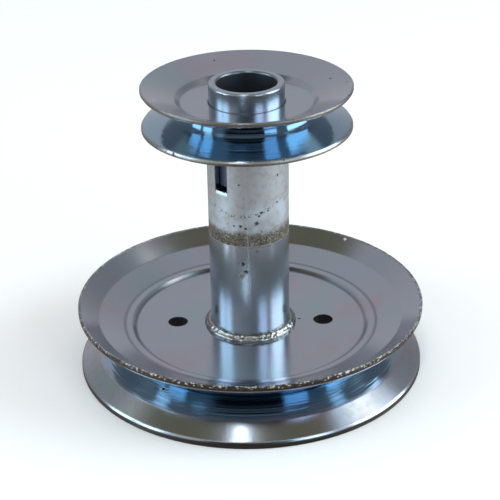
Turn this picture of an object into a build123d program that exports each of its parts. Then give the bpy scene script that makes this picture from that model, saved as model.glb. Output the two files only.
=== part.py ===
from build123d import *
import os
from math import radians, sin, tan

# Two-groove engine pulley: a small and a large pressed-steel pulley on one hub tube.
# Millimetres. +Z is up along the hub's axis. The origin is on that axis, level with the lowest
# edge of the large pulley's rim, on which the part stands.

# Large pulley, at the bottom: sizes of one pressed half, measured on its dished side
lower_rim_d = 152.4
lower_sheet = 2.5
lower_step_run = 1.9
lower_step_angle = 38.0
lower_shelf_run = 3.5
lower_shelf_angle = 4.9
lower_wall_run = 10.9
lower_wall_angle = 22.5
lower_flare_run = 8.9
lower_flare_angle = 36.4
lower_rim_edge = 0.7

# Two round holes through the large pulley's disc, on a line through the axis
disc_hole_d = 8.5
disc_hole_spacing = 65.0

# Small pulley, at the top
upper_rim_d = 88.9
upper_sheet = 2.0
upper_step_run = 2.4
upper_step_angle = 38.0
upper_wall_run = 14.25
upper_wall_angle = 21.6
upper_rim_edge = 0.7
pulley_spacing = 105.4

# Hub tube, with a turned-down collar that the small pulley sits on
hub_d = 34.9
bore_d = 25.4
bore_chamfer = 0.6
collar_d = 32.0
collar_stand = 8.4
collar_chamfer = 0.5
hub_tail = 7.5
hub_tail_chamfer = 0.5
hub_fit = 0.2

# Window in the tube's wall with a sloping lip on its sill, and the drive key that stands in it
window_turn = 41.9
window_below_shoulder = 6.4
key_width = 6.35
key_height = 4.76
key_length = 24.0
key_stand = 3.175
key_edge = 0.3
key_fit = 0.25
key_end_gap = 1.1
lip_height = 1.2
lip_depth = 0.6
relief_depth = 0.4
relief_margin = 2.5

# Fillet welds between the tube and the discs
weld_leg = 3.1

hub_r = hub_d / 2
bore_r = bore_d / 2
collar_r = collar_d / 2


def rise(run, angle):
    """Height that a sloping wall gains over a radial run."""
    return run * tan(radians(angle))


def finished_height(sheet, slopes, rim_edge):
    """Height of a pressed half, from its joint face to the top of its chamfered rim."""
    lost_to_chamfer = rim_edge * sin(radians(slopes[-1][1]))
    return sheet + sum(rise(run, angle) for run, angle in slopes) - lost_to_chamfer


# A pressed wall's runs and angles, from the disc outwards
lower_slopes = [
    (lower_step_run, lower_step_angle),
    (lower_shelf_run, lower_shelf_angle),
    (lower_wall_run, lower_wall_angle),
    (lower_flare_run, lower_flare_angle),
]
upper_slopes = [(upper_step_run, upper_step_angle), (upper_wall_run, upper_wall_angle)]

# Heights along the axis: the two joint faces, the hub's shoulder and its two ends
lower_joint = finished_height(lower_sheet, lower_slopes, lower_rim_edge)
upper_joint = lower_joint + pulley_spacing
shoulder = upper_joint - upper_sheet
hub_top = upper_joint + upper_sheet + collar_stand
hub_bottom = lower_joint - lower_sheet - hub_tail


def half_plane(height, up):
    """Upright plane through the axis: sketch x is the radius, sketch y leaves the height given."""
    return Plane(origin=(0, 0, height), x_dir=(1, 0, 0), z_dir=(0, -up, 0))


def pressed_half(plane, hole_r, rim_r, sheet, slopes, rim_edge):
    """One pressed pulley half: a flat disc whose wall flares out to a rim trimmed parallel to the axis.

    slopes are the wall's radial runs and angles from the disc outwards. The disc's back lies on the
    plane's own height.
    """
    disc_r = rim_r - sum(run for run, angle in slopes)
    points = [(hole_r, sheet), (disc_r, sheet)]
    for run, angle in slopes:
        last_r, last_height = points[-1]
        points.append((last_r + run, last_height + rise(run, angle)))
    blank_r, blank_height = points.pop()
    points.append((blank_r + sheet, blank_height + rise(sheet, slopes[-1][1])))
    with BuildPart() as half:
        with BuildSketch(plane) as section:
            with BuildLine():
                Polyline(*points)
                offset(amount=sheet, kind=Kind.INTERSECTION, side=Side.RIGHT)
            make_face()
            with Locations((rim_r, 0)):
                Rectangle(
                    2 * sheet, 4 * points[-1][1], align=(Align.MIN, Align.CENTER), mode=Mode.SUBTRACT
                )
            chamfer(section.vertices().group_by(Axis.X)[-1], rim_edge)
        revolve(axis=Axis.Z)
    return half


def weld_bead(height, up):
    """Fillet weld ring in the corner between the tube and a disc face at the height given."""
    root = (hub_r, 0)
    toe = (hub_r + weld_leg, 0)
    crest = (hub_r, weld_leg)
    with BuildPart() as bead:
        with BuildSketch(half_plane(height, up)):
            with BuildLine():
                Polyline(root, toe, crest, close=True)
            make_face()
        revolve(axis=Axis.Z)
    return bead


# The halves of a pulley are the same pressing, set back to back
def lower_half(up):
    """One half of the large pulley, with the two holes drilled through its disc."""
    half = pressed_half(
        half_plane(lower_joint, up),
        hub_r + hub_fit,
        lower_rim_d / 2,
        lower_sheet,
        lower_slopes,
        lower_rim_edge,
    )
    with BuildPart() as drilled:
        add(half.part)
        with Locations(Plane.XY.offset(lower_joint)):
            with PolarLocations(disc_hole_spacing / 2, 2):
                Hole(disc_hole_d / 2)
    return drilled


lower_pulley_top_half = lower_half(1)
lower_pulley_bottom_half = lower_half(-1)


def upper_half(up):
    """One half of the small pulley, bored to sit on the hub's collar."""
    return pressed_half(
        half_plane(upper_joint, up),
        collar_r + hub_fit,
        upper_rim_d / 2,
        upper_sheet,
        upper_slopes,
        upper_rim_edge,
    )


upper_pulley_top_half = upper_half(1)
upper_pulley_bottom_half = upper_half(-1)

# The window's plane faces out of the tube, turned from the front towards the left
window_plane = Plane.XZ.rotated((0, 0, -window_turn))
window_width = key_width + 2 * key_fit
window_length = key_length + key_fit + key_end_gap
window_top = shoulder - window_below_shoulder
window_bottom = window_top - window_length
window_middle = (window_top + window_bottom) / 2

with BuildPart() as hub_tube:
    with BuildSketch(Plane.XZ):
        with BuildLine():
            Polyline(
                (bore_r, hub_bottom),
                (hub_r, hub_bottom),
                (hub_r, shoulder),
                (collar_r, shoulder),
                (collar_r, hub_top),
                (bore_r, hub_top),
                close=True,
            )
        make_face()
        with Locations((bore_r, window_middle)):
            Rectangle(2 * relief_depth, window_length + 2 * relief_margin, mode=Mode.SUBTRACT)
    revolve(axis=Axis.Z)
    top_edges = hub_tube.edges().group_by(Axis.Z)[-1].sort_by(SortBy.RADIUS)
    bottom_edges = hub_tube.edges().group_by(Axis.Z)[0].sort_by(SortBy.RADIUS)
    chamfer(top_edges[-1], collar_chamfer)
    chamfer([top_edges[0], bottom_edges[0]], bore_chamfer)
    chamfer(bottom_edges[-1], hub_tail_chamfer)
    with BuildSketch(window_plane):
        with Locations((0, window_middle)):
            Rectangle(window_width, window_length)
    extrude(amount=hub_d, mode=Mode.SUBTRACT)
    sill_edges = hub_tube.edges(Select.LAST).filter_by(GeomType.CIRCLE).group_by(Axis.Z)[0]
    tube_face = hub_tube.faces().filter_by(GeomType.CYLINDER).sort_by(SortBy.AREA)[-1]
    chamfer(sill_edges.sort_by(SortBy.RADIUS)[-1], lip_height, lip_depth, reference=tube_face)

# The key is pressed into the window from its top end down, and its lower end stays clear
key_middle = window_top - key_fit - key_length / 2
with BuildPart() as drive_key:
    with BuildSketch(window_plane.offset(bore_r - key_stand)):
        with Locations((0, key_middle)):
            Rectangle(key_width, key_length)
    extrude(amount=key_height)
    chamfer(drive_key.edges(), key_edge)

lower_pulley_top_weld = weld_bead(lower_joint + lower_sheet, 1)
lower_pulley_bottom_weld = weld_bead(lower_joint - lower_sheet, -1)
upper_pulley_weld = weld_bead(shoulder, -1)

pieces = {
    "hub_tube": hub_tube,
    "drive_key": drive_key,
    "lower_pulley_top_half": lower_pulley_top_half,
    "lower_pulley_bottom_half": lower_pulley_bottom_half,
    "upper_pulley_top_half": upper_pulley_top_half,
    "upper_pulley_bottom_half": upper_pulley_bottom_half,
    "lower_pulley_top_weld": lower_pulley_top_weld,
    "lower_pulley_bottom_weld": lower_pulley_bottom_weld,
    "upper_pulley_weld": upper_pulley_weld,
}
os.makedirs("parts", exist_ok=True)
for name, piece in pieces.items():
    piece.part.label = name
    export_step(piece.part, f"parts/{name}.step")
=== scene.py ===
from math import cos, radians, sin

import bpy
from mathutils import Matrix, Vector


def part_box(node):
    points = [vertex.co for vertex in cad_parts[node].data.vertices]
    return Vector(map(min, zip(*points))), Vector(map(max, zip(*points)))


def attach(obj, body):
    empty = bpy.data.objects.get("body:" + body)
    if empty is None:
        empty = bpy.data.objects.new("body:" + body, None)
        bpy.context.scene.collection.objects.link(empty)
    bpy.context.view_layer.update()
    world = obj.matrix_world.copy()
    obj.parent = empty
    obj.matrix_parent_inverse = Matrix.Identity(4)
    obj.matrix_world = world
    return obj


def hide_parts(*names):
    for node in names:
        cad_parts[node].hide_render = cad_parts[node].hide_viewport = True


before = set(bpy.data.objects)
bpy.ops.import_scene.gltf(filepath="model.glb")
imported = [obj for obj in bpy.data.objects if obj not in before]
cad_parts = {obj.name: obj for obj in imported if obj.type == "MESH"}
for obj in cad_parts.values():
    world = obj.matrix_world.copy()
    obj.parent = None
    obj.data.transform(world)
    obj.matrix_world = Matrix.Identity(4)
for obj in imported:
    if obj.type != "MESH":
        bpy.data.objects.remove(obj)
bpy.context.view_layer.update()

# Hub tube
# A length of thick drawn steel tube, turned down at the top to a collar for the small pulley and
# punched for the drive key. It is bright zinc plated after welding. Storage has left a chalky film
# on its upper part, a brown tide mark below the film and a few spots of rust.
mm = 0.001


def linear(hex_colour):
    """An sRGB hex colour as linear red, green, blue and alpha."""
    channels = [int(hex_colour[i : i + 2], 16) / 255 for i in (1, 3, 5)]
    return [c / 12.92 if c <= 0.04045 else ((c + 0.055) / 1.055) ** 2.4 for c in channels] + [1.0]


def add_node(tree, kind, sockets=None, **settings):
    """Adds a node with its settings, and gives each of its sockets a value or a link.

    A node given for a socket is linked by its first output in use.
    """
    node = tree.nodes.new(kind)
    for name, value in settings.items():
        setattr(node, name, value)
    for name, value in (sockets or {}).items():
        if isinstance(value, bpy.types.Node):
            value = next(output for output in value.outputs if output.enabled)
        if isinstance(value, bpy.types.NodeSocket):
            tree.links.new(value, node.inputs[name])
        else:
            node.inputs[name].default_value = value
    return node


def zinc_plate(name, cool, warm, roughness, grain_mm=0.7, depth_mm=0.01, edge_mm=0.8):
    """Bright zinc plating: a soft bluish mirror, blotched with a warmer tint and finely grained.

    The real grain is too fine to show, so it is drawn coarser. Handled edges are worn round, which
    gives each of them its thin bright line.
    """
    material = bpy.data.materials.new(name)
    material.use_nodes = True
    tree = material.node_tree
    tree.nodes.clear()
    place = add_node(tree, "ShaderNodeTexCoord").outputs["Object"]
    blotches = add_node(
        tree, "ShaderNodeTexNoise", {"Vector": place, "Scale": 1 / (30 * mm), "Detail": 3.0}
    )
    tint = add_node(
        tree, "ShaderNodeMix", {0: blotches, 6: linear(cool), 7: linear(warm)}, data_type="RGBA"
    )
    grain = add_node(
        tree, "ShaderNodeTexNoise", {"Vector": place, "Scale": 1 / (grain_mm * mm), "Detail": 2.0}
    )
    worn_edges = add_node(tree, "ShaderNodeBevel", {"Radius": edge_mm * mm}, samples=6)
    relief = add_node(
        tree,
        "ShaderNodeBump",
        {"Height": grain, "Distance": depth_mm * mm, "Strength": 0.5, "Normal": worn_edges},
    )
    shader = add_node(
        tree,
        "ShaderNodeBsdfPrincipled",
        {"Base Color": tint, "Metallic": 1.0, "Roughness": roughness, "Normal": relief},
    )
    add_node(tree, "ShaderNodeOutputMaterial", {"Surface": shader})
    return material


def lay_over(material, mask, colour, roughness, metallic=1.0):
    """Lays a stain, dirt, worn metal, painted shade or a painted highlight over a finish wherever
    the mask is white.
    """
    tree = material.node_tree
    inputs = tree.nodes["Principled BSDF"].inputs
    under = inputs["Base Color"].links[0].from_socket
    blend = add_node(
        tree, "ShaderNodeMix", {0: mask, 6: under, 7: linear(colour)}, data_type="RGBA"
    )
    tree.links.new(blend.outputs[2], inputs["Base Color"])
    for socket, value in ((inputs["Roughness"], roughness), (inputs["Metallic"], metallic)):
        under = socket.links[0].from_socket if socket.is_linked else socket.default_value
        if under != value:
            blend = add_node(tree, "ShaderNodeMix", {0: mask, 2: under, 3: value})
            tree.links.new(blend.outputs[0], socket)


def spot(material, centre_mm, reach_mm, colour):
    """A ragged spot of rust or dirt round a point on the part, dull and dark against the zinc.

    Noise of about a half pushes the spot's edge in and out by part of its reach.
    """
    reach = reach_mm * mm
    tree = material.node_tree
    place = tree.nodes["Texture Coordinate"].outputs["Object"]
    centre = [c * mm for c in centre_mm]
    away = add_node(tree, "ShaderNodeVectorMath", {0: place, 1: centre}, operation="DISTANCE")
    noise = add_node(
        tree, "ShaderNodeTexNoise", {"Vector": place, "Scale": 1.2 / reach, "Detail": 3.0}
    )
    ragged = add_node(
        tree, "ShaderNodeMath", {0: noise, 1: 2 * reach, 2: away}, operation="MULTIPLY_ADD"
    )
    inside = add_node(
        tree,
        "ShaderNodeMapRange",
        {"Value": ragged, "From Min": 2.1 * reach, "From Max": 1.7 * reach},
        interpolation_type="SMOOTHSTEP",
    )
    lay_over(material, inside, colour, 0.55, 0.4)


hub_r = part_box("hub_tube")[1].x
bore_r = 12.7 * mm
tube_zinc = zinc_plate("bright_zinc_on_drawn_tube", "#A0AEBD", "#A8AEB6", 0.23)
tree = tube_zinc.node_tree
place = tree.nodes["Texture Coordinate"].outputs["Object"]
x, y, z = add_node(tree, "ShaderNodeSeparateXYZ", {"Vector": place}).outputs
flat = add_node(tree, "ShaderNodeVectorMath", {0: place, 1: (1, 1, 0)}, operation="MULTIPLY")
radius = add_node(tree, "ShaderNodeVectorMath", {0: flat}, operation="LENGTH")

# The collar was turned smooth.
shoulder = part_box("upper_pulley_weld")[1].z
collar = add_node(
    tree,
    "ShaderNodeMapRange",
    {"Value": z, "From Min": shoulder - 0.1 * mm, "From Max": shoulder + 0.1 * mm},
)
lay_over(tube_zinc, collar, "#A4AFBC", 0.23)

# The bore is coloured a darker, duller grey inside.
bore = add_node(
    tree,
    "ShaderNodeMapRange",
    {"Value": radius, "From Min": bore_r + 0.7 * mm, "From Max": bore_r + 0.5 * mm},
)
lay_over(tube_zinc, bore, "#7A838F", 0.3, 0.94)

# The film lies on the outside alone, down to the tide mark's sharp lower edge. It is dull and
# nearly even, with paler bloom over the mark.
tide = 62.9 * mm
outside = add_node(
    tree,
    "ShaderNodeMapRange",
    {"Value": radius, "From Min": hub_r - 0.5 * mm, "From Max": hub_r - 0.2 * mm},
)
film = add_node(
    tree,
    "ShaderNodeMapRange",
    {"Value": z, "From Min": tide - 0.3 * mm, "From Max": tide + 0.3 * mm, "To Max": outside},
)
lay_over(tube_zinc, film, "#B6BBBE", 0.42, 0.7)
mottle = add_node(
    tree, "ShaderNodeTexNoise", {"Vector": place, "Scale": 1 / (2.5 * mm), "Detail": 6.0}
)
dull = add_node(
    tree,
    "ShaderNodeMapRange",
    {"Value": mottle, "From Min": 0.45, "From Max": 0.75, "To Max": film},
    interpolation_type="SMOOTHSTEP",
)
lay_over(tube_zinc, dull, "#A3A2A2", 0.5, 0.6)
clouds = add_node(
    tree, "ShaderNodeTexNoise", {"Vector": place, "Scale": 1 / (8 * mm), "Detail": 5.0}
)
bloom_zone = add_node(
    tree,
    "ShaderNodeMapRange",
    {"Value": z, "From Min": tide + 23 * mm, "From Max": tide + 16 * mm, "To Max": film},
    interpolation_type="SMOOTHSTEP",
)
bloom = add_node(
    tree,
    "ShaderNodeMapRange",
    {"Value": clouds, "From Min": 0.42, "From Max": 0.62, "To Max": bloom_zone},
    interpolation_type="SMOOTHSTEP",
)
lay_over(tube_zinc, bloom, "#BFCBD2", 0.45, 0.6)

# Below the mark the zinc is hazed, and clears further down.
from_sheen = add_node(
    tree,
    "ShaderNodeVectorMath",
    {0: place, 1: (-3.5 * mm, -17.1 * mm, tide - 16 * mm)},
    operation="DISTANCE",
)
# The brighter patch at the front is a painted sheen, where the ceiling lamp's reflection falls.
haze_and_sheen_level = add_node(
    tree,
    "ShaderNodeMapRange",
    {"Value": from_sheen, "From Min": 12 * mm, "From Max": 2 * mm, "To Min": 0.12, "To Max": 0.25},
    interpolation_type="SMOOTHSTEP",
)
below = add_node(
    tree,
    "ShaderNodeMapRange",
    {"Value": z, "From Min": tide, "From Max": tide - 1 * mm, "To Max": haze_and_sheen_level},
)
haze_and_sheen = add_node(
    tree,
    "ShaderNodeMapRange",
    {"Value": z, "From Min": tide - 62 * mm, "From Max": tide - 18 * mm, "To Max": below},
    interpolation_type="SMOOTHSTEP",
)
lay_over(tube_zinc, haze_and_sheen, "#AEB9C0", 0.23, 0.0)

# The tube's drawn seam runs down the front, a little out of true. Its faint pale line is a painted
# highlight.
lean = add_node(tree, "ShaderNodeMath", {0: z, 1: 0.027, 2: x}, operation="MULTIPLY_ADD")
off_seam = add_node(
    tree,
    "ShaderNodeMath",
    {0: add_node(tree, "ShaderNodeMath", {0: lean, 1: -1.21 * mm}, operation="ADD")},
    operation="ABSOLUTE",
)
front = add_node(
    tree,
    "ShaderNodeMapRange",
    {"Value": y, "From Min": -3 * mm, "From Max": -8 * mm, "To Max": outside},
)
seam_front = add_node(
    tree,
    "ShaderNodeMapRange",
    {"Value": z, "From Min": 28 * mm, "From Max": 45 * mm, "To Max": front},
)
seam_highlight = add_node(
    tree,
    "ShaderNodeMapRange",
    {"Value": off_seam, "From Min": 0.5 * mm, "From Max": -0.9 * mm, "To Max": seam_front},
)

# The tide mark is brown with a ragged top, peppered with pale and dark grains.
ragged = add_node(tree, "ShaderNodeMath", {0: clouds, 1: 7 * mm, 2: z}, operation="MULTIPLY_ADD")
ring = add_node(
    tree,
    "ShaderNodeMapRange",
    {"Value": ragged, "From Min": tide + 12 * mm, "From Max": tide + 7.5 * mm, "To Max": film},
    interpolation_type="SMOOTHSTEP",
)
pepper = add_node(
    tree, "ShaderNodeTexNoise", {"Vector": place, "Scale": 1 / (0.9 * mm), "Detail": 3.0}
)
for start, end, colour in (
    (0.25, 0.45, "#665F53"),
    (0.55, 0.62, "#423B31"),
    (0.36, 0.3, "#A5A196"),
):
    grains = add_node(
        tree,
        "ShaderNodeMapRange",
        {"Value": pepper, "From Min": start, "From Max": end, "To Max": ring},
        interpolation_type="SMOOTHSTEP",
    )
    lay_over(tube_zinc, grains, colour, 0.5, 0.4)

# A drip has dried in a sagging line across the front, rusty specks along it.
sag = add_node(tree, "ShaderNodeMath", {0: x, 1: 20.0, 2: 0.15}, operation="MULTIPLY_ADD")
line = add_node(tree, "ShaderNodeMath", {0: sag, 1: x, 2: 77 * mm}, operation="MULTIPLY_ADD")
off_line = add_node(
    tree,
    "ShaderNodeMath",
    {0: add_node(tree, "ShaderNodeMath", {0: z, 1: line}, operation="SUBTRACT")},
    operation="ABSOLUTE",
)
drip = add_node(
    tree,
    "ShaderNodeMapRange",
    {"Value": off_line, "From Min": 1.6 * mm, "From Max": 0.2 * mm, "To Max": front},
    interpolation_type="SMOOTHSTEP",
)
for start, end, colour in ((0.45, 0.7, "#8A7F73"), (0.6, 0.66, "#3C352D")):
    grains = add_node(
        tree,
        "ShaderNodeMapRange",
        {"Value": pepper, "From Min": start, "From Max": end, "To Max": drip},
        interpolation_type="SMOOTHSTEP",
    )
    lay_over(tube_zinc, grains, colour, 0.5, 0.4)
# The seam's pale line is a painted highlight.
lay_over(tube_zinc, seam_highlight, "#CBD0D3", 0.4, 0.8)
for centre_mm, reach_mm, colour in (
    ((3.3, -17.1, 60.3), 0.8, "#6B6254"),
    ((-2.8, -17.2, 54.7), 1.0, "#3A352E"),
    ((-1.6, -17.4, 50.9), 1.0, "#3A352E"),
    ((-3.5, -17.1, 49.0), 1.2, "#7C766B"),
    ((5.4, -16.6, 78.3), 0.8, "#3A352E"),
    ((4.4, -16.9, 77.0), 0.6, "#3A352E"),
    ((3.2, -17.2, 73.6), 0.9, "#4A3F34"),
    ((8.2, -15.4, 78.9), 0.6, "#3A352E"),
    ((12.0, -12.7, 81.4), 0.5, "#3A352E"),
    ((-1.3, -17.4, 71.4), 0.6, "#3A352E"),
    ((-3.5, -17.1, 72.4), 0.7, "#3A352E"),
    ((-6.3, -16.3, 72.3), 0.5, "#3A352E"),
    ((-3.9, -17.0, 91.4), 0.5, "#4A443B"),
    ((12.4, -12.3, 93.8), 0.6, "#4A443B"),
):
    spot(tube_zinc, centre_mm, reach_mm, colour)

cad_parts["hub_tube"].material_slots[0].material = tube_zinc

# Drive key
# A square bar of key steel pressed into the tube's window, so that it stands into the bore and turns
# with the engine's shaft. It took the same bright zinc; its darker blue-grey is painted shade from
# the window.
# The key's darker blue-grey colour is painted shade.
shaded_key_zinc = zinc_plate("key_zinc_in_painted_shade", "#64728A", "#6E7B8E", 0.22, edge_mm=0.3)
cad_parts["drive_key"].material_slots[0].material = shaded_key_zinc

# Large pulley
# Two like dishes pressed from steel sheet, set back to back and drilled, then zinc plated. Belts
# have polished the groove to a mirror, and handling has chipped the upper rim down to brown steel.


def sheet_zinc(name, node, belt_r):
    """Zinc plating for both halves of a pressed pulley, polished by the belt inside its radius.

    Gives the material with its distance from the axis, its height above the pulley's joint, and a
    measure that is above nought on the dished faces and below it in the groove.
    """
    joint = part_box(node)[0].z
    material = zinc_plate(name, "#A0AEBD", "#A9ADB4", 0.18, edge_mm=0.9)
    tree = material.node_tree
    shader = tree.nodes["Principled BSDF"]
    place = tree.nodes["Texture Coordinate"].outputs["Object"]
    flat = add_node(tree, "ShaderNodeVectorMath", {0: place, 1: (1, 1, 0)}, operation="MULTIPLY")
    radius = add_node(tree, "ShaderNodeVectorMath", {0: flat}, operation="LENGTH")
    axes = add_node(tree, "ShaderNodeSeparateXYZ", {"Vector": place})
    above = add_node(tree, "ShaderNodeMath", {0: axes.outputs["Z"], 1: joint}, operation="SUBTRACT")
    normal = add_node(tree, "ShaderNodeNewGeometry").outputs["Normal"]
    facing = add_node(tree, "ShaderNodeSeparateXYZ", {"Vector": normal})
    inward = add_node(
        tree, "ShaderNodeMath", {0: above, 1: facing.outputs["Z"]}, operation="MULTIPLY"
    )
    reached = add_node(
        tree,
        "ShaderNodeMapRange",
        {"Value": radius, "From Min": belt_r, "From Max": belt_r - 0.3 * mm},
    )
    belt_track = add_node(
        tree, "ShaderNodeMapRange", {"Value": inward, "From Max": -0.2 * mm, "To Max": reached}
    )

    # The plating has faint rainbow tints, rose in places and green in others.
    tints = add_node(
        tree, "ShaderNodeTexNoise", {"Vector": place, "Scale": 1 / (24 * mm), "Detail": 4.0}
    )
    for start, end, colour in ((0.52, 0.72, "#AAA6B2"), (0.48, 0.28, "#9CB0B6")):
        tinted = add_node(
            tree,
            "ShaderNodeMapRange",
            {"Value": tints, "From Min": start, "From Max": end},
            interpolation_type="SMOOTHSTEP",
        )
        lay_over(material, tinted, colour, 0.18)

    # Where the belt ran the zinc is a bluer, sharper mirror.
    lay_over(material, belt_track, "#97B0C2", 0.07)

    # Outside the belt's track the groove's mouth has taken a thin, patchy grime.
    outer = add_node(
        tree,
        "ShaderNodeMapRange",
        {"Value": radius, "From Min": belt_r, "From Max": belt_r + 0.3 * mm, "To Max": 0.18},
    )
    mouth = add_node(
        tree, "ShaderNodeMapRange", {"Value": inward, "From Max": -0.2 * mm, "To Max": outer}
    )
    smudges = add_node(
        tree, "ShaderNodeTexNoise", {"Vector": place, "Scale": 1 / (4 * mm), "Detail": 6.0}
    )
    grime = add_node(
        tree,
        "ShaderNodeMapRange",
        {"Value": smudges, "From Min": 0.45, "From Max": 0.7, "To Max": mouth},
        interpolation_type="SMOOTHSTEP",
    )
    lay_over(material, grime, "#8B8779", 0.35)

    # The belt's scores run round the axis. They are drawn coarser than the real ones, to show.
    score_mm = 0.9
    scores = add_node(
        tree,
        "ShaderNodeTexNoise",
        {"W": radius, "Scale": 1 / (score_mm * mm), "Detail": 2.0},
        noise_dimensions="1D",
    )
    scored = add_node(
        tree,
        "ShaderNodeBump",
        {
            "Height": scores,
            "Distance": 0.05 * mm,
            "Strength": belt_track,
            "Normal": shader.inputs["Normal"].links[0].from_socket,
        },
    )
    tree.links.new(scored.outputs["Normal"], shader.inputs["Normal"])
    return material, radius, above, inward


lower_zinc, radius, above, inward = sheet_zinc(
    "bright_zinc_on_large_pressing", "lower_pulley_top_half", 67.3 * mm
)
tree = lower_zinc.node_tree
place = tree.nodes["Texture Coordinate"].outputs["Object"]
low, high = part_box("lower_pulley_top_half")
rim_r, rim_top = high.x, high.z - low.z

# Painted shade darkens the two bends round the disc.
dished = add_node(
    tree, "ShaderNodeMapRange", {"Value": inward, "From Max": 0.2 * mm, "To Max": 0.6}
)
for bend_r in (51.2 * mm, 56.0 * mm):
    off_bend = add_node(
        tree,
        "ShaderNodeMath",
        {0: add_node(tree, "ShaderNodeMath", {0: radius, 1: bend_r}, operation="SUBTRACT")},
        operation="ABSOLUTE",
    )
    bend_shade = add_node(
        tree,
        "ShaderNodeMapRange",
        {"Value": off_bend, "From Min": 1.1 * mm, "From Max": 0.1 * mm, "To Max": dished},
        interpolation_type="SMOOTHSTEP",
    )
    lay_over(lower_zinc, bend_shade, "#646A7C", 0.18)

# The trimmed edge of the sheet is duller than its faces; its dark brown-grey is a painted reflection
# of a dark floor.
trimmed = add_node(
    tree,
    "ShaderNodeMapRange",
    {"Value": radius, "From Min": rim_r - 0.25 * mm, "From Max": rim_r - 0.1 * mm},
)
lay_over(lower_zinc, trimmed, "#4A4947", 0.35)

# Chips crowd the upper rim: brown where the steel has rusted, nearly black where they are deep,
# pale where it is bare.
upper_rim = add_node(
    tree,
    "ShaderNodeMapRange",
    {
        "Value": radius,
        "From Min": rim_r - 1.3 * mm,
        "From Max": rim_r - 0.8 * mm,
        "To Max": add_node(
            tree,
            "ShaderNodeMapRange",
            {"Value": above, "From Min": rim_top - 1.5 * mm, "From Max": rim_top - 1.2 * mm},
        ),
    },
)
chips = add_node(
    tree, "ShaderNodeTexNoise", {"Vector": place, "Scale": 1 / (1.0 * mm), "Detail": 3.0}
)
for start, end, colour in (
    (0.53, 0.57, "#4E3E30"),
    (0.58, 0.62, "#1F1914"),
    (0.42, 0.38, "#CFC6B8"),
):
    chipped = add_node(
        tree,
        "ShaderNodeMapRange",
        {"Value": chips, "From Min": start, "From Max": end, "To Max": upper_rim},
    )
    lay_over(lower_zinc, chipped, colour, 0.5, 0.4)

nicks = add_node(
    tree, "ShaderNodeTexNoise", {"Vector": place, "Scale": 1 / (0.8 * mm), "Detail": 2.0}
)
shader = tree.nodes["Principled BSDF"]
nicked = add_node(
    tree,
    "ShaderNodeBump",
    {
        "Height": nicks,
        "Distance": 0.25 * mm,
        "Strength": upper_rim,
        "Normal": shader.inputs["Normal"].links[0].from_socket,
    },
)
tree.links.new(nicked.outputs["Normal"], shader.inputs["Normal"])

# The drilled holes' walls are painted near black: painted shade inside the holes.
hole_r, hole_out = 4.25 * mm, 32.5 * mm
folded = add_node(tree, "ShaderNodeVectorMath", {0: place}, operation="ABSOLUTE")
level = add_node(tree, "ShaderNodeVectorMath", {0: folded, 1: (1, 1, 0)}, operation="MULTIPLY")
from_hole = add_node(
    tree, "ShaderNodeVectorMath", {0: level, 1: (hole_out, 0, 0)}, operation="DISTANCE"
)
shaded_hole_wall = add_node(
    tree,
    "ShaderNodeMapRange",
    {"Value": from_hole, "From Min": hole_r + 0.15 * mm, "From Max": hole_r + 0.05 * mm},
)
lay_over(lower_zinc, shaded_hole_wall, "#1C1916", 0.6, 0.4)
for centre_mm, reach_mm, colour in (
    ((-37.0, -47.3, 11.1), 1.0, "#120F0D"),
    ((21.9, 0.8, 17.4), 0.7, "#3A352E"),
    ((46.0, 57.8, 28.8), 0.8, "#E4E4E0"),
):
    spot(lower_zinc, centre_mm, reach_mm, colour)
for half in ("lower_pulley_top_half", "lower_pulley_bottom_half"):
    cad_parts[half].material_slots[0].material = lower_zinc

# Welds of the large pulley
# A fillet weld run round the tube on each side of the discs, laid in two uneven passes and plated
# with the rest, so its ripples glint.


def weld_bead(node, name, up, finish):
    """A rippled fillet weld in two passes, in the corner between the tube and a disc."""
    low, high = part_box(node)
    corner = low.z if up > 0 else high.z
    bpy.ops.object.select_all(action="DESELECT")
    passes = []
    for out_mm, rise_mm, thick_mm in ((1.55, 0.45, 1.25), (0.45, 1.5, 1.3)):
        bpy.ops.mesh.primitive_torus_add(
            location=(0, 0, corner + up * rise_mm * mm),
            major_radius=hub_r + out_mm * mm,
            minor_radius=thick_mm * mm,
            major_segments=400,
            minor_segments=24,
        )
        passes.append(bpy.context.object)
    for run in passes:
        run.select_set(True)
    bpy.ops.object.join()
    bpy.ops.object.transform_apply(location=True)
    bead = bpy.context.object
    bead.name = name
    for ripple_mm, strength_mm in ((1.4, 0.8), (0.5, 0.5)):
        lumps = bpy.data.textures.new(f"{name}_{ripple_mm}", "CLOUDS")
        lumps.noise_scale = ripple_mm * mm
        ripple = bead.modifiers.new("ripple", "DISPLACE")
        ripple.texture = lumps
        ripple.strength = strength_mm * mm
        bpy.ops.object.modifier_apply(modifier=ripple.name)
    bpy.ops.object.shade_smooth()
    bead.data.materials.append(finish)
    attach(bead, "root")
    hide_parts(node)


# The lumpy metal under its zinc breaks the light into points.
weld_zinc = zinc_plate(
    "bright_zinc_on_weld", "#959AA0", "#A09E99", 0.1, grain_mm=1.5, depth_mm=0.5
)
weld_bead("lower_pulley_top_weld", "large_pulley_top_bead", 1, weld_zinc)
weld_bead("lower_pulley_bottom_weld", "large_pulley_bottom_bead", -1, weld_zinc)

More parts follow.
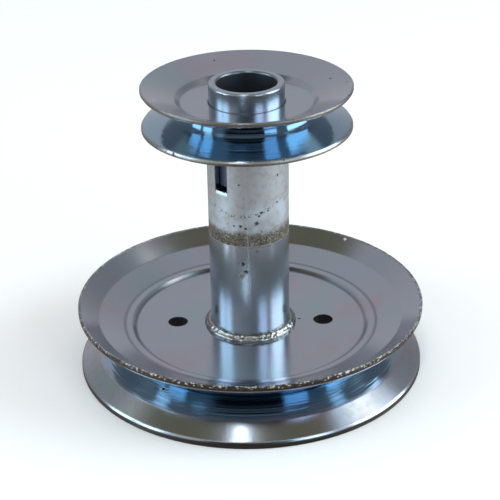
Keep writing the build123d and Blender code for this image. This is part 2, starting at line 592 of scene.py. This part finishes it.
# Small pulley
# The same construction in thinner sheet: two pressed dishes back to back on the hub's collar. Its
# rims have worn bright and show only a few brown specks.
upper_zinc, radius = sheet_zinc(
    "bright_zinc_on_small_pressing", "upper_pulley_top_half", 44 * mm
)[:2]
tree = upper_zinc.node_tree
place = tree.nodes["Texture Coordinate"].outputs["Object"]
rim_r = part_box("upper_pulley_top_half")[1].x
# The trimmed edge is duller than the faces; its brown-grey is a painted reflection of a dark floor.
trimmed = add_node(
    tree,
    "ShaderNodeMapRange",
    {"Value": radius, "From Min": rim_r - 0.25 * mm, "From Max": rim_r - 0.1 * mm},
)
lay_over(upper_zinc, trimmed, "#85827A", 0.35)
rim = add_node(
    tree,
    "ShaderNodeMapRange",
    {"Value": radius, "From Min": rim_r - 1.2 * mm, "From Max": rim_r - 0.8 * mm},
)
chips = add_node(
    tree, "ShaderNodeTexNoise", {"Vector": place, "Scale": 1 / (2 * mm), "Detail": 3.0}
)
for start, end, colour in ((0.58, 0.64, "#6E6152"), (0.69, 0.72, "#2B231C")):
    chipped = add_node(
        tree,
        "ShaderNodeMapRange",
        {"Value": chips, "From Min": start, "From Max": end, "To Max": rim},
    )
    lay_over(upper_zinc, chipped, colour, 0.5, 0.4)
for centre_mm, reach_mm, colour in (
    ((-14.0, 36.1, 127.3), 0.6, "#3A352E"),
    ((35.7, 11.9, 126.8), 0.7, "#4A443B"),
    ((41.9, 2.7, 128.7), 0.5, "#4A443B"),
):
    spot(upper_zinc, centre_mm, reach_mm, colour)
for half in ("upper_pulley_top_half", "upper_pulley_bottom_half"):
    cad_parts[half].material_slots[0].material = upper_zinc

# Weld of the small pulley
# A fillet weld under the small pulley, at the shoulder that the pulley sits on. It is laid in two
# passes and plated like those of the large pulley.
weld_bead("upper_pulley_weld", "small_pulley_bead", -1, weld_zinc)

# Studio floor
# A wide sheet of white paper for the part to stand on. The zinc mirrors the room's dimmer floor.
floor_size = 6.0
bpy.ops.object.select_all(action="DESELECT")
bpy.ops.mesh.primitive_plane_add(size=floor_size, location=(0, 0, 0))
floor = bpy.context.object
floor.name = "studio_floor"
floor.visible_glossy = False

# The paper is even and has no shine.
floor_paper = bpy.data.materials.new("white_paper")
floor_paper.use_nodes = True
paper_shader = floor_paper.node_tree.nodes["Principled BSDF"]
paper_shader.inputs["Base Color"].default_value = linear("#F8F8F8")
paper_shader.inputs["Roughness"].default_value = 0.9
paper_shader.inputs["Specular IOR Level"].default_value = 0.0
floor.data.materials.append(floor_paper)

# Studio room
# Pale walls in front, a dim olive ceiling, a grey backdrop behind the part, a grey floor, and a
# dark curtain where the camera stands: bright zinc shows little else.
room = bpy.data.worlds.new("studio_room")
bpy.context.scene.world = room
room.use_nodes = True
tree = room.node_tree
tree.nodes.clear()
direction = add_node(tree, "ShaderNodeTexCoord").outputs["Generated"]
across, deep, up = add_node(tree, "ShaderNodeSeparateXYZ", {"Vector": direction}).outputs
masks = {}
for name, along, start, end, within in (
    ("upper wall", up, 0.1, 0.45, None),
    ("ceiling", up, 0.6, 0.8, None),
    ("backdrop", deep, 0.16, 0.32, None),
    ("backdrop at the right", across, 0.15, 0.6, "backdrop"),
    ("backdrop at the left", across, -0.5, -0.8, "backdrop"),
    ("floor", up, 0.0, -0.06, None),
    ("curtain's height", up, 0.53, 0.47, None),
    ("curtain's hem", up, -0.22, -0.1, "curtain's height"),
    ("curtain", deep, -0.76, -0.86, "curtain's hem"),
):
    masks[name] = add_node(
        tree,
        "ShaderNodeMapRange",
        {
            "Value": along,
            "From Min": start,
            "From Max": end,
            "To Max": masks[within] if within else 1.0,
        },
        interpolation_type="SMOOTHSTEP",
    )
tone = linear("#B4B4B8")
for name, colour in (
    ("upper wall", "#F4F1EE"),
    ("ceiling", "#7C755F"),
    ("backdrop", "#C9C6CA"),
    ("backdrop at the right", "#9B9B9E"),
    ("backdrop at the left", "#A6A7A6"),
    ("floor", "#AC9E9C"),
    ("curtain", "#1C1B1C"),
):
    tone = add_node(
        tree, "ShaderNodeMix", {0: masks[name], 6: tone, 7: linear(colour)}, data_type="RGBA"
    )

# A fanlight shines high at the right, and daylight glances off the floor at both sides. Each patch
# has its direction, its edge and core in degrees, its brightness and its colour.
strength = 1.0
for towards, edge, core, level, colour in (
    ((0.74, 0.26, -0.62), 14, 4, 1.3, "#FFF4E8"),
    ((-0.74, 0.22, -0.63), 16, 5, 0.65, "#FFF4E8"),
    ((0.60, 0.0, 0.80), 9, 2, 1.7, "#D8F0FF"),
    ((0.745, 0.24, 0.62), 7, 3, 1.7, "#E8F6FF"),
    ((0.68, 0.13, 0.72), 11, 5, 2.6, "#FFFCF2"),
    ((-0.79, -0.08, -0.61), 6, 3, 2.9, "#E6F4FF"),
    ((-0.85, -0.36, -0.39), 8, 3, 2.9, "#E6F4FF"),
    ((-0.68, -0.67, -0.31), 6, 2, 2.2, "#E6F4FF"),
    ((0.76, -0.11, -0.64), 7, 3, 2.9, "#E6F4FF"),
    ((0.85, -0.35, -0.39), 6, 2, 2.2, "#E6F4FF"),
):
    nearness = add_node(
        tree, "ShaderNodeVectorMath", {0: direction, 1: towards}, operation="DOT_PRODUCT"
    )
    glint = add_node(
        tree,
        "ShaderNodeMapRange",
        {"Value": nearness, "From Min": cos(radians(edge)), "From Max": cos(radians(core))},
        interpolation_type="SMOOTHSTEP",
    )
    tone = add_node(
        tree, "ShaderNodeMix", {0: glint, 6: tone, 7: linear(colour)}, data_type="RGBA"
    )
    strength = add_node(tree, "ShaderNodeMix", {0: glint, 2: strength, 3: level})
glow = add_node(tree, "ShaderNodeBackground", {"Color": tone, "Strength": strength})
add_node(tree, "ShaderNodeOutputWorld", {"Surface": glow})


# Studio lights
# Tall daylight panels at the sides and strip lamps overhead, each placed by its bearing from the
# front, its height above the floor in degrees and its distance from the part.
def daylight_panel(name, bearing, height, size, watts, colour, distance=2.0, mirrored=True):
    """A rectangular lamp that faces the part. The zinc doesn't show a panel that isn't mirrored."""
    turn, tilt = radians(bearing), radians(height)
    lamp = bpy.data.lights.new(name, "AREA")
    lamp.shape = "RECTANGLE"
    lamp.size, lamp.size_y = size
    lamp.energy = watts
    lamp.color = linear(colour)[:3]
    panel = bpy.data.objects.new(name, lamp)
    panel.location = (
        distance * cos(tilt) * sin(turn),
        -distance * cos(tilt) * cos(turn),
        distance * sin(tilt) + 0.06,
    )
    panel.rotation_euler = (radians(90) - tilt, 0, turn)
    panel.visible_glossy = mirrored
    bpy.context.collection.objects.link(panel)


daylight_panel("right_panel", 88, 14, (1.6, 1.55), 40.0, "#E6F8FF")
daylight_panel("left_outer_panel", -88, 14, (0.63, 1.55), 11.7, "#D0F0FF")
daylight_panel("left_inner_panel", -65.8, 14, (0.57, 1.55), 10.6, "#D0F0FF")
daylight_panel("front_panel", 37.5, 14, (0.72, 1.55), 11.0, "#CCE8FF")
daylight_panel("ceiling_lamp", -14.5, 69, (0.1, 1.2), 4.4, "#F0F8FF")
daylight_panel("far_ceiling_lamp", -13, 42, (0.53, 0.35), 1.2, "#FFFFFF")
daylight_panel("floor_light", 0, 89, (3.0, 3.0), 21, "#FFFFFF", distance=2.5, mirrored=False)

# Camera
# A long lens a little above the part, tilted down at it and rolled by a hair.
camera_data = bpy.data.cameras.new("camera")
camera_data.sensor_width = 36.0
camera_data.lens = 104.58
camera = bpy.data.objects.new("camera", camera_data)
camera.location = (0.0003, -0.5685, 0.3374)
camera.rotation_mode = "ZYX"
pitch_down, roll = radians(26.6), radians(-0.99)
camera.rotation_euler = (radians(90) - pitch_down, 0, roll)
bpy.context.collection.objects.link(camera)
bpy.context.scene.camera = camera
bpy.context.scene.view_settings.view_transform = "Standard"
